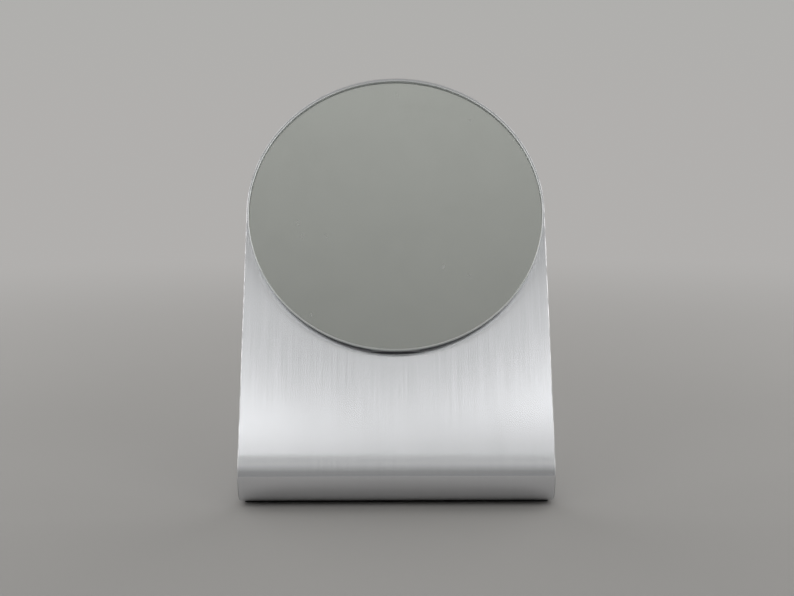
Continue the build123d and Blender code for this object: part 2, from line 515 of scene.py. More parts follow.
@dataclass(frozen=True)
class TurnedSteel(Finish):
    """Steel with fine tool rings round the arm's axis."""

    rings_per_metre: float = 3200.0
    ring_shade: float = 0.82
    swing: Span = (-0.05, 0.06)
    groove: float = 4e-6

    def paint(self, paint: Paint) -> None:
        """Dresses the material with rings.

        Args:
            paint: The material under construction.
        """
        x, y, z = paint.separate(paint.seen_from_arm())
        across = paint.combine(paint.flat_length(x, y), z, 0.0)
        inputs = {"Vector": across, "Scale": self.rings_per_metre, "Detail": 2.0}
        rings = paint.add("ShaderNodeTexNoise", inputs).outputs[0]
        dark = dimmed(self.colour, self.ring_shade)
        tone = paint.blend(paint.between(rings, *NOISE_BODY), dark, self.colour)
        ends = [self.roughness + part for part in self.swing]
        rough = paint.between(rings, *NOISE_BODY, *ends)
        paint.set(Base_Color=tone, Metallic=1.0, Roughness=rough)
        paint.bump(rings, self.groove)


@dataclass(frozen=True)
class GrainedPlastic(Finish):
    """Moulded plastic, rubber or foam with a fine grain and faint dust."""

    dust: Triple
    specular: float
    grain_per_metre: float
    grain_height: float
    dust_per_metre: float = 60.0
    dust_span: Span = (0.45, 0.8)
    dust_share: float = 0.5
    swing: float = 0.06

    def paint(self, paint: Paint) -> None:
        """Dresses the material with grain and dust.

        Args:
            paint: The material under construction.
        """
        grain = paint.noise(self.grain_per_metre, 3.0)
        cloud = paint.noise(self.dust_per_metre, 4.0)
        share = paint.between(cloud, *self.dust_span, 0.0, self.dust_share)
        rough = paint.between(grain, *NOISE_BODY, self.roughness - self.swing,
                              self.roughness + self.swing)
        paint.set(Base_Color=paint.blend(share, self.colour, self.dust), Roughness=rough,
                  Specular_IOR_Level=self.specular)
        paint.bump(grain, self.grain_height)


@dataclass(frozen=True)
class SilverLayer(Finish):
    """The mirror's reflecting layer, very slightly cloudy."""

    cloud: Triple
    cloud_per_metre: float = 30.0
    cloud_span: Span = (0.3, 0.8)
    cloud_warp: float = 0.8

    def paint(self, paint: Paint) -> None:
        """Dresses the material with faint clouds.

        Args:
            paint: The material under construction.
        """
        haze = paint.noise(self.cloud_per_metre, 4.0, self.cloud_warp)
        tone = paint.blend(paint.between(haze, *self.cloud_span), self.colour, self.cloud)
        paint.set(Base_Color=tone, Metallic=1.0, Roughness=self.roughness)


@dataclass(frozen=True)
class ClearGlass(Finish):
    """Glass with faint smudges, clear or partly ground."""

    smudge_roughness: float
    transmission: float = 1.0
    dusty: bool = False
    refraction: float = 1.52
    smudges_per_metre: Triple = (34.0, 20.0, 20.0)
    smudge_span: Span = (0.5, 0.85)
    smudge_warp: float = 1.2
    smudge_shade: float = 0.985
    specks_per_metre: float = 75.0
    speck_radius: float = 0.045
    speck_edge: float = 1.6
    speck_roughness: float = 0.5
    patches_per_metre: float = 22.0
    patch_span: Span = (0.52, 0.62)

    def paint(self, paint: Paint) -> None:
        """Dresses the material with smudges and specks of dust.

        Args:
            paint: The material under construction.
        """
        smudge = paint.noise(self.smudges_per_metre, 5.0, self.smudge_warp)
        tint = dimmed(self.colour, self.smudge_shade)
        rough = paint.between(smudge, *self.smudge_span, self.roughness, self.smudge_roughness)
        if self.dusty:
            rough = paint.math("MAXIMUM", rough, self.specks(paint))
        paint.set(Base_Color=paint.blend(smudge, self.colour, tint), Roughness=rough,
                  IOR=self.refraction, Transmission_Weight=self.transmission)

    def specks(self, paint: Paint) -> Link:
        """Scatters a few specks of dust.

        Args:
            paint: The material under construction.

        Returns:
            The socket of the roughness that the specks add.
        """
        inputs = {"Vector": paint.place, "Scale": self.specks_per_metre, "Randomness": 1.0}
        away = paint.add("ShaderNodeTexVoronoi", inputs).outputs["Distance"]
        patches = paint.noise(self.patches_per_metre, 2.0)
        few = paint.between(patches, *self.patch_span, 0.0, self.speck_roughness)
        edge = self.speck_edge * self.speck_radius
        return paint.math("MULTIPLY", paint.between(away, self.speck_radius, edge, 1.0, 0.0), few)


SHEET_FACE = BrushedSteel("sheet_brushed_steel", (0.86, 0.87, 0.90), 0.22, 1.0)
SHEET_RIM = PolishedMetal("sheet_rim_polished_steel", (0.54, 0.54, 0.55), 0.42)
# Brushed steel of the strap, toned darker than the steel itself so that the hinge barrel under the
# mirror reads as the shade in the gap there: a real part's colour with painted shade in it.
STRAP_STEEL_WITH_PAINTED_SHADE = BrushedSteel("strap_brushed_steel_painted_shade", (0.48, 0.48, 0.49), 0.34, 0.7)
PLATE_FACE = PolishedMetal("plate_satin_aluminium", (0.70, 0.70, 0.71), 0.44, 900.0)
TURNED = TurnedSteel("flange_turned_steel", (0.66, 0.66, 0.67), 0.27)
FASTENER = PolishedMetal("fastener_bright_steel", (0.68, 0.68, 0.68), 0.20, 600.0)
CHROME = PolishedMetal("tube_polished_chrome", (0.86, 0.86, 0.88), 0.07)
RUBBER = GrainedPlastic("pad_matte_rubber", (0.018, 0.018, 0.018), 0.72,
                        (0.05, 0.048, 0.045), 0.35, 2200.0, 2e-5)
CAP = GrainedPlastic("cap_moulded_plastic", (0.022, 0.022, 0.023), 0.48,
                     (0.05, 0.05, 0.05), 0.5, 2600.0, 1.5e-5)
NYLON = GrainedPlastic("guide_natural_nylon", (0.80, 0.78, 0.71), 0.46,
                       (0.70, 0.67, 0.60), 0.5, 900.0, 6e-6)
FOAM = GrainedPlastic("tape_white_foam", (0.72, 0.72, 0.69), 0.85,
                      (0.60, 0.59, 0.55), 0.3, 3000.0, 3e-5)
SILVER = SilverLayer("layer_polished_silver", (0.90, 0.91, 0.89), 0.012, (0.875, 0.885, 0.865))
BACK_PAINT = GrainedPlastic("layer_back_paint", (0.20, 0.205, 0.21), 0.55,
                            (0.24, 0.24, 0.24), 0.4, 1500.0, 4e-6)
GLASS = ClearGlass("glass_clear", (0.985, 0.995, 0.985), 0.0, 0.05, dusty=True)
GLASS_RIM = ClearGlass("glass_ground_rim", (0.86, 0.92, 0.90), 0.30, 0.40, 0.35)
GLASS_ARRIS = ClearGlass("glass_polished_arris", (0.90, 0.93, 0.92), 0.30, 0.40, 0.15)


def hand_in(name: str, mesh: Mesh, body: Body, slot: str, *nodes: str) -> None:
    """Adds a finished piece to the scene.

    Args:
        name: The piece's name.
        mesh: Its mesh, in the frame's own place.
        body: The body that it rides on.
        slot: The record's material slot; not used.
        *nodes: The nodes that it stands for.
    """
    piece = placed(name, mesh)
    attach(piece, body.value)
    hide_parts(*nodes)
    log.info("%s: %d faces, rides on %s", name, len(mesh.polygons), body.value)


def hand_in_copy(name: str, node: str, body: Body, slot: str, finish: Finish, edge: float) -> None:
    """Dresses a copy of a node's own mesh and adds it to the scene.

    Args:
        name: The piece's name.
        node: The node that it stands for.
        body: The body that it rides on.
        slot: The record's material slot.
        finish: Its finish.
        edge: Width of the rounding on its sharp edges.
    """
    mesh = merged_copy(node, edge)
    mesh.materials.append(finish.material())
    hand_in(name, mesh, body, slot, node)


def rounded(profile: Profile, radius: float, steps: int = 4, band: float = 1.6) -> Profile:
    """Rounds a closed profile's corners, with a narrow band that holds the flats beside each.

    Args:
        profile: Corners as radius and height.
        radius: Size of the rounding.
        steps: Facets on each corner.
        band: The bands' outer ends from the corner, as a share of the radius.

    Returns:
        The rounded profile.
    """
    corners = [Vector(corner) for corner in profile]
    made: list[Vector] = []
    for k, corner in enumerate(corners):
        before = (corners[k - 1] - corner).normalized() * radius
        after = (corners[(k + 1) % len(corners)] - corner).normalized() * radius
        start, end = corner + before, corner + after
        made.append(corner + before * band)
        for step in range(steps + 1):
            t = step / steps
            made.append(start * (1 - t) ** 2 + corner * 2 * t * (1 - t) + end * t ** 2)
        made.append(corner + after * band)
    return [tuple(point) for point in made]


def shade_by_angle(mesh: Mesh, merge: bool = True, outward: bool = True,
                   part_rim: bool = False) -> None:
    """Shades a mesh smooth and keeps its sharp edges crisp.

    Args:
        mesh: The mesh, which is changed.
        merge: Whether to merge its doubles first.
        outward: Whether to work out the outward side again.
        part_rim: Whether to part the faces that carry the attribute rim from the others.
    """
    grown = bmesh.new()
    grown.from_mesh(mesh)
    if merge:
        bmesh.ops.remove_doubles(grown, verts=grown.verts, dist=MERGE_DISTANCE)
    if outward:
        bmesh.ops.recalc_face_normals(grown, faces=grown.faces)
    rim = grown.faces.layers.bool["rim"] if part_rim else None
    for face in grown.faces:
        face.smooth = True
    for edge in grown.edges:
        sides = edge.link_faces
        joined = len(sides) == 2 and (rim is None or sides[0][rim] == sides[1][rim])
        edge.smooth = joined and edge.calc_face_angle() < SHARP_ANGLE
    grown.to_mesh(mesh)
    grown.free()


def merged_copy(node: str, edge_round: float) -> Mesh:
    """Copies a node's mesh with joined corners, smooth curves and slightly rounded edges.

    Normals are weighted by area, so that flat faces shade flat up to their rounded edges.

    Args:
        node: The node's name.
        edge_round: Width of the rounding on its sharp edges, or 0 for none.

    Returns:
        The new mesh.
    """
    mesh = frame["nodes"][node].data.copy()
    grown = bmesh.new()
    grown.from_mesh(mesh)
    bmesh.ops.remove_doubles(grown, verts=grown.verts, dist=MERGE_DISTANCE)
    bmesh.ops.dissolve_limit(grown, angle_limit=FLAT_ANGLE, verts=grown.verts, edges=grown.edges)
    grown.to_mesh(mesh)
    grown.free()
    mesh.materials.clear()
    if edge_round > 0.0:
        holder = placed("bevel_holder", mesh)
        bevel = holder.modifiers.new("edges", "BEVEL")
        bevel.width = edge_round
        bevel.segments = BEVEL_STEPS
        bevel.limit_method = "ANGLE"
        bevel.angle_limit = BEVEL_ANGLE
        mesh = taken(holder)
    shade_by_angle(mesh, outward=False)
    holder = placed("normal_holder", mesh)
    weighted = holder.modifiers.new("normals", "WEIGHTED_NORMAL")
    weighted.keep_sharp = True
    return taken(holder)


def turning_rule() -> ShapeRule:
    """Makes the rule that turns a profile about the Z axis.

    Returns:
        The rule, with inputs Segments, Closed and Finish.
    """
    rule = ShapeRule("turn_about_axis")
    segments, = rule.inputs(Socket.COUNT, "Segments")
    closed, = rule.inputs(Socket.SWITCH, "Closed")
    finish, = rule.inputs(Socket.FINISH, "Finish")
    size = rule.add("GeometryNodeAttributeDomainSize", {0: rule.geometry})
    count = size.outputs["Point Count"]
    rows = rule.math("ADD", count, closed)
    columns = rule.math("ADD", segments, 1)
    grid = rule.add("GeometryNodeMeshGrid", {"Vertices X": columns, "Vertices Y": rows})
    index = rule.add("GeometryNodeInputIndex").outputs[0]
    corner = rule.math("MODULO", rule.math("MODULO", index, rows), count)
    column = rule.math("FLOOR", rule.math("DIVIDE", rule.math("ADD", index, 0.5), rows))
    place = rule.add("GeometryNodeInputPosition").outputs[0]
    picked = {"Geometry": rule.geometry, "Value": place, "Index": rule.math("ROUND", corner)}
    sample = rule.add("GeometryNodeSampleIndex", picked, data_type="FLOAT_VECTOR", domain="POINT")
    radius, _, height = rule.separate(sample.outputs[0])
    turn = rule.math("DIVIDE", rule.math("MULTIPLY", column, math.tau), segments)
    position = rule.combine(*rule.polar(radius, turn), height)
    moved = {"Geometry": grid.outputs["Mesh"], "Position": position}
    swept = rule.add("GeometryNodeSetPosition", moved).outputs[0]
    merge = {"Geometry": swept, "Distance": MERGE_DISTANCE}
    rule.close(rule.add("GeometryNodeMergeByDistance", merge).outputs[0], (finish, True))
    return rule


def ring_rule() -> ShapeRule:
    """Makes the rule that repeats a piece in a ring about the Z axis.

    Returns:
        The rule, with inputs Count, Circle Radius, First Angle and Finish.
    """
    rule = ShapeRule("ring_of_copies")
    count, = rule.inputs(Socket.COUNT, "Count")
    circle_radius, first = rule.inputs(Socket.LENGTH, "Circle Radius", "First Angle")
    finish, = rule.inputs(Socket.FINISH, "Finish")
    points = rule.add("GeometryNodePoints", {"Count": count}).outputs[0]
    index = rule.add("GeometryNodeInputIndex").outputs[0]
    share = rule.math("DIVIDE", rule.math("MULTIPLY", index, math.tau), count)
    turn = rule.math("ADD", first, share)
    moved = {"Geometry": points, "Position": rule.combine(*rule.polar(circle_radius, turn), 0.0)}
    points = rule.add("GeometryNodeSetPosition", moved).outputs[0]
    euler = {0: rule.combine(0.0, 0.0, turn)}
    rotation = rule.add("FunctionNodeEulerToRotation", euler).outputs[0]
    copies = {"Points": points, "Instance": rule.geometry, "Rotation": rotation}
    rule.close(rule.add("GeometryNodeInstanceOnPoints", copies).outputs[0], (finish, True))
    return rule


def punch_and_bend_rule() -> ShapeRule:
    """Makes the rule that punches a flat blank and bends it round a line across it.

    The blank lies with X across, Y along its length from the bend's first line and its face at
    Z = 0. The bend's last line is eased: the sheet starts to curve a little before it and curves
    fully a little after.

    Returns:
        The rule, with inputs for the hole, the bend and the two finishes.
    """
    rule = ShapeRule("punch_and_bend")
    hole_radius, hole_along, radius, turn, centre_y, centre_z, ease = rule.inputs(
        Socket.LENGTH, "Hole Radius", "Hole Along", "Bend Radius", "Bend Turn", "Bend Centre Y",
        "Bend Centre Z", "Bend Ease",
    )
    face_finish, rim_finish = rule.inputs(Socket.FINISH, "Face Finish", "Rim Finish")

    tool = {"Vertices": PUNCH_FACETS, "Radius": hole_radius, "Depth": PUNCH_DEPTH}
    punch = rule.add("GeometryNodeMeshCylinder", tool).outputs["Mesh"]
    marked = {"Geometry": punch, "Name": "rim", "Value": True}
    punch = rule.add("GeometryNodeStoreNamedAttribute", marked, data_type="BOOLEAN",
                     domain="FACE").outputs[0]
    moved = {"Geometry": punch, "Translation": rule.combine(0.0, hole_along, 0.0)}
    punch = rule.add("GeometryNodeTransform", moved).outputs[0]
    cut = rule.add("GeometryNodeMeshBoolean", {"Mesh 1": rule.geometry, "Mesh 2": punch},
                   operation="DIFFERENCE", solver="EXACT")

    place = rule.add("GeometryNodeInputPosition").outputs[0]
    across, along, height = rule.separate(place)
    bend_length = rule.math("MULTIPLY", radius, turn)
    held = rule.add("ShaderNodeClamp", {0: along, 1: 0.0, 2: bend_length}).outputs[0]
    angle = rule.math("DIVIDE", held, radius)
    sine, cosine = rule.math("SINE", angle), rule.math("COSINE", angle)

    into_bend = rule.math("SUBTRACT", bend_length, along)
    away = rule.math("DIVIDE", rule.math("ABSOLUTE", into_bend), ease)
    nearness = rule.math("MAXIMUM", rule.math("SUBTRACT", 1.0, away), 0.0)
    corner = rule.math("POWER", nearness, 3.0)
    step = rule.math("MULTIPLY", rule.math("SIGN", into_bend), rule.math("SUBTRACT", 1.0, corner))
    fade = rule.between(into_bend, ease, bend_length, 0.5, 0.0)
    deepest = rule.math("DIVIDE", rule.math("MULTIPLY", ease, ease),
                        rule.math("MULTIPLY", radius, 6.0))
    share = rule.math("MULTIPLY", rule.math("ADD", step, 1.0), fade)
    inward = rule.math("MULTIPLY", share, deepest)

    from_centre = rule.math("SUBTRACT", rule.math("ADD", radius, height), inward)
    beyond = rule.math("SUBTRACT", along, held)
    y = rule.math("ADD", rule.math("MULTIPLY", sine, from_centre),
                  rule.math("MULTIPLY", cosine, beyond))
    z = rule.math("SUBTRACT", rule.math("MULTIPLY", sine, beyond),
                  rule.math("MULTIPLY", cosine, from_centre))
    bent = rule.combine(across, rule.math("SUBTRACT", centre_y, y), rule.math("ADD", centre_z, z))
    moved = {"Geometry": cut.outputs[0], "Position": bent}
    sheet = rule.add("GeometryNodeSetPosition", moved).outputs[0]

    named = rule.add("GeometryNodeInputNamedAttribute", {"Name": "rim"}, data_type="BOOLEAN")
    rule.close(sheet, (face_finish, True), (rim_finish, named.outputs[0]))
    return rule


@dataclass(frozen=True)
class Station:
    """A point on the right half of an outline, with the outline's outward direction there."""

    x: float
    y: float
    out_x: float
    out_y: float


def arc_stations(centre: Span, radius: float, start: float, end: float,
                 steps: int) -> list[Station]:
    """Stations on an arc of an outline.

    Args:
        centre: The arc's centre.
        radius: Its radius.
        start: First direction from the centre, in degrees.
        end: Last direction.
        steps: Number of chords.

    Returns:
        The stations in order.
    """
    made = []
    for step in range(steps + 1):
        angle = math.radians(start + (end - start) * step / steps)
        out = (math.cos(angle), math.sin(angle))
        made.append(Station(centre[0] + radius * out[0], centre[1] + radius * out[1], *out))
    return made


def rounded_slab(right: Sequence[Station], thickness: float, edge_round: float,
                 steps: int = 5) -> Mesh:
    """Makes a flat plate with rounded edges below Z = 0 from the right half of its outline.

    Args:
        right: Stations from the plate's lower end to its upper end.
        thickness: The plate's thickness.
        edge_round: Radius of its edges.
        steps: Facets on each edge.

    Returns:
        The plate's mesh, whose edge faces carry the attribute rim.
    """
    left = [Station(-s.x, s.y, -s.out_x, s.out_y) for s in right]
    pointed = abs(right[-1].x) < MERGE_DISTANCE
    loop = list(right) + list(reversed(left[:-1] if pointed else left))
    quarter = [math.radians(90.0 * step / steps) for step in range(steps + 1)]
    section = [(edge_round * (1 - math.sin(a)), edge_round * (1 - math.cos(a))) for a in quarter]
    section += [(inset, thickness - depth) for inset, depth in reversed(section)]
    plate = bmesh.new()
    rows = [[plate.verts.new((s.x - s.out_x * inset, s.y - s.out_y * inset, -depth)) for s in loop]
            for inset, depth in section]
    size = len(loop)
    for above, below in zip(rows, rows[1:]):
        for k in range(size):
            after = (k + 1) % size
            plate.faces.new((above[k], below[k], below[after], above[after]))
    rim_count = len(plate.faces)
    for row, flip in ((rows[0], False), (rows[-1], True)):
        for k in range(len(right) - 1):
            corners = [row[k], row[k + 1], row[(size - k - 2) % size], row[size - k - 1]]
            unique = list(dict.fromkeys(corners))
            plate.faces.new(reversed(unique) if flip else unique)
    mesh = bpy.data.meshes.new("slab")
    plate.to_mesh(mesh)
    plate.free()
    rim = mesh.attributes.new("rim", "BOOLEAN", "FACE")
    rim.data.foreach_set("value", [k < rim_count for k in range(len(mesh.polygons))])
    return mesh


@dataclass
class Workshop:
    """The shape rules that the sub-assemblies share."""

    turning: ShapeRule
    ring: ShapeRule
    bending: ShapeRule

    def spin(self, profile: Profile, closed: bool, finish: Finish, segments: int) -> Mesh:
        """Turns a profile about the Z axis.

        Args:
            profile: Radius and height of each corner.
            closed: Whether the profile comes back to its start.
            finish: The piece's finish.
            segments: Facets round the axis.

        Returns:
            The mesh on the Z axis.
        """
        start = bpy.data.meshes.new("profile")
        start.from_pydata([(radius, 0.0, height) for radius, height in profile], [], [])
        values = {"Segments": segments, "Closed": closed, "Finish": finish.material()}
        return self.turning.run(start, values)

    def set_on_arm(self, mesh: Mesh) -> Mesh:
        """Shades a mesh and moves it from the arm's own coordinates to the frame's place.

        Args:
            mesh: The mesh, which is changed.

        Returns:
            The same mesh.
        """
        shade_by_angle(mesh)
        mesh.transform(ARM.matrix)
        return mesh

    def hand_in_tube(self, name: str, node: str, body: Body, slot: str, finish: Finish,
                     edge: float, segments: int = 96) -> None:
        """Turns a plain tube or ring with rounded edges and adds it to the scene.

        Args:
            name: The piece's name.
            node: The node that it stands for and takes its size from.
            body: The body that it rides on.
            slot: The record's material slot.
            finish: Its finish.
            edge: Rounding of its edges.
            segments: Facets round the axis.
        """
        size = ARM.turned(node)
        corners = [(size.bore, size.low), (size.radius, size.low),
                   (size.radius, size.high), (size.bore, size.high)]
        mesh = self.set_on_arm(self.spin(rounded(corners, edge), True, finish, segments))
        hand_in(name, mesh, body, slot, node)

    def repeat(self, piece: Mesh, count: int, radius: float, first: float, finish: Finish) -> Mesh:
        """Repeats a piece in a ring about the arm.

        Args:
            piece: One piece at the axis, in the arm's own coordinates.
            count: Number of copies.
            radius: Radius of the circle through their middles.
            first: The first copy's direction, in degrees.
            finish: The pieces' finish.

        Returns:
            One mesh of all the copies in the frame's place.
        """
        values = {"Count": count, "Circle Radius": radius, "First Angle": math.radians(first),
                  "Finish": finish.material()}
        return self.set_on_arm(self.ring.run(piece, values))


@dataclass
class Stand:
    """The bent sheet with its pad, and the arm's housing behind the panel."""

    workshop: Workshop
    sheet: float = 0.002
    bend_radius: float = 0.018
    base_corner: float = 0.022
    edge_break: float = 0.0006
    top_steps: int = 64
    bend_steps: int = 48
    bend_ease: float = 0.009
    ease_steps: int = 14
    corner_steps: int = 14
    pad_edge: float = 0.0005
    pad_inset: float = 0.0025
    tube_edge: float = 0.0004
    stud_count: int = 3
    first_stud: float = 90.0
    stud_radius: float = 0.0015
    stud_facets: int = 40
    thread_pitch: float = 0.0005
    thread_depth: float = 0.00022
    nut_flats: float = 0.0055
    nut_face: float = 0.485
    nut_chamfer: float = 30.0
    nut_facets: int = 72

    def build(self) -> None:
        """Builds and dresses every piece of the stand."""
        self.build_sheet()
        self.build_pad()
        self.build_flange()
        self.build_housing()

    def build_sheet(self) -> None:
        """Cuts the flat blank, then punches and bends it."""
        low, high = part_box("stand_sheet")
        half = (high.x - low.x) / 2
        centre_y, centre_z = low.y + self.bend_radius, low.z + self.bend_radius
        turn = math.acos(-ARM.outward.z)
        bend_length = self.bend_radius * turn
        foot = Vector((0.0, centre_y, centre_z)) + ARM.outward * self.bend_radius
        corners = [vertex.co - foot for vertex in frame["nodes"]["stand_sheet"].data.vertices]
        top = bend_length + max(corner.dot(ARM.up_slope) for corner in corners)
        rear = centre_y - high.y
        corner = self.base_corner
        lines = [-self.sheet / 4]
        lines += [bend_length * step / self.bend_steps for step in range(self.bend_steps + 1)]
        lines += [bend_length + self.bend_ease * step / self.ease_steps
                  for step in range(1, self.ease_steps + 2)]
        right = arc_stations((half - corner, rear + corner), corner, -90.0, 0.0, self.corner_steps)
        right += [Station(half, line, 1.0, 0.0) for line in lines]
        right += arc_stations((0.0, top - half), half, 0.0, 90.0, self.top_steps)
        values = {
            "Hole Radius": ARM.turned("housing_tube").radius,
            "Hole Along": bend_length + (ARM.origin - foot).dot(ARM.up_slope),
            "Bend Radius": self.bend_radius, "Bend Turn": turn,
            "Bend Centre Y": centre_y, "Bend Centre Z": centre_z, "Bend Ease": self.bend_ease,
            "Face Finish": SHEET_FACE.material(), "Rim Finish": SHEET_RIM.material(),
        }
        blank = rounded_slab(right, self.sheet, self.edge_break, 1)
        mesh = self.workshop.bending.run(blank, values)
        shade_by_angle(mesh, merge=False, part_rim=True)
        hand_in("bent_sheet", mesh, Body.STAND, "brushed_sheet", "stand_sheet")

    def build_pad(self) -> None:
        """Cuts the rubber pad under the base."""
        low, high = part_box("base_pad")
        half = (high.x - low.x) / 2
        rear, front = self.base_corner - self.pad_inset, self.pad_inset
        right = arc_stations((half - rear, rear - high.y), rear, -90.0, 0.0, self.corner_steps)
        right += arc_stations((half - front, -low.y - front), front, 0.0, 90.0, self.corner_steps)
        mesh = rounded_slab(right, high.z - low.z, self.pad_edge)
        shade_by_angle(mesh, merge=False, part_rim=True)
        mesh.materials.append(RUBBER.material())
        turned_over = Matrix.Diagonal((1.0, -1.0, 1.0, 1.0))
        mesh.transform(Matrix.Translation((0.0, 0.0, high.z)) @ turned_over)
        mesh.flip_normals()
        hand_in("rubber_pad", mesh, Body.STAND, "pad_rubber", "base_pad")

    def build_flange(self) -> None:
        """Dresses the flange and makes its studs and nuts."""
        hand_in_copy("turned_flange", "arm_flange", Body.STAND, "turned_steel", TURNED,
                     self.tube_edge)
        studs = ARM.turned("flange_studs")
        circle = (studs.bore + studs.radius) / 2
        for name, node, make in (("threaded_studs", "flange_studs", self.stud),
                                 ("hexagon_nuts", "flange_nuts", self.nut)):
            size = ARM.turned(node)
            mesh = self.workshop.repeat(make(size.low, size.high), self.stud_count, circle,
                                        self.first_stud, FASTENER)
            hand_in(name, mesh, Body.STAND, "fastener_steel", node)

    def stud(self, low: float, high: float) -> Mesh:
        """Makes one stud with its thread.

        Args:
            low: Height of its tip.
            high: Height of its foot.

        Returns:
            The stud's mesh on the Z axis.
        """
        root = self.stud_radius - self.thread_depth
        profile: Profile = [(0.0, low), (root - self.thread_depth, low)]
        turns = int((high - low) / self.thread_pitch) - 1
        for k in range(turns):
            start = low + self.thread_depth + k * self.thread_pitch
            profile += [(root, start), (self.stud_radius, start + self.thread_pitch / 2)]
        profile += [(root, high), (0.0, high)]
        return self.workshop.spin(profile, False, FASTENER, self.stud_facets)

    def nut(self, low: float, high: float) -> Mesh:
        """Makes one hexagon nut with chamfered corners.

        Args:
            low: Height of its outer face.
            high: Height of its seat.

        Returns:
            The nut's mesh on the Z axis.
        """
        nut = bmesh.new()
        half_side = math.radians(30.0)
        bore, face = self.stud_radius, self.nut_face * self.nut_flats
        rows = []
        for k in range(self.nut_facets):
            angle = math.tau * k / self.nut_facets
            from_flat = (angle % (2 * half_side)) - half_side
            side = self.nut_flats / 2 / math.cos(half_side - abs(from_flat))
            drop = (side - face) * math.tan(math.radians(self.nut_chamfer))
            section = [(bore, low), (face, low), (side, low + drop),
                       (side, high - drop), (face, high), (bore, high)]
            rows.append([nut.verts.new((r * math.cos(angle), r * math.sin(angle), z))
                         for r, z in section])
        for row, after in zip(rows, rows[1:] + rows[:1]):
            for k in range(len(row)):
                following = (k + 1) % len(row)
                nut.faces.new((row[k], after[k], after[following], row[following]))
        mesh = bpy.data.meshes.new("nut")
        nut.to_mesh(mesh)
        nut.free()
        return mesh

    def build_housing(self) -> None:
        """Turns the housing's tube and guide and dresses its cap."""
        for name, node, slot, finish in (
            ("housing_sleeve", "housing_tube", "chrome_tube", CHROME),
            ("housing_bush", "housing_guide", "guide_nylon", NYLON),
        ):
            self.workshop.hand_in_tube(name, node, Body.STAND, slot, finish, self.tube_edge)
        hand_in_copy("end_cap", "housing_cap", Body.STAND, "cap_plastic", CAP, self.tube_edge)


@dataclass
class SlidingArm:
    """The two sliding stages of the arm and the swivel at its tip."""

    workshop: Workshop
    edge: float = 0.0003
    screw_edge: float = 0.00015

    def build(self) -> None:
        """Builds and dresses every piece of the two stages."""
        for name, node, slot, finish in (
            ("outer_sleeve", "outer_tube", "chrome_tube", CHROME),
            ("outer_slider", "outer_stop_ring", "guide_nylon", NYLON),
            ("outer_bush", "outer_guide", "guide_nylon", NYLON),
        ):
            self.workshop.hand_in_tube(name, node, Body.OUTER_STAGE, slot, finish, self.edge)
        for name, node, slot, finish, edge in (
            ("chromed_rod", "inner_rod", "chrome_tube", CHROME, self.edge),
            ("rod_slider", "inner_stop_ring", "guide_nylon", NYLON, self.edge),
            ("slider_screw", "inner_stop_screw", "fastener_steel", FASTENER, self.screw_edge),
            ("shoulder_screw", "swivel_screw", "fastener_steel", FASTENER, self.screw_edge),
            ("friction_washer", "swivel_washer", "guide_nylon", NYLON, 0.0),
        ):
            hand_in_copy(name, node, Body.INNER_STAGE, slot, finish, edge)


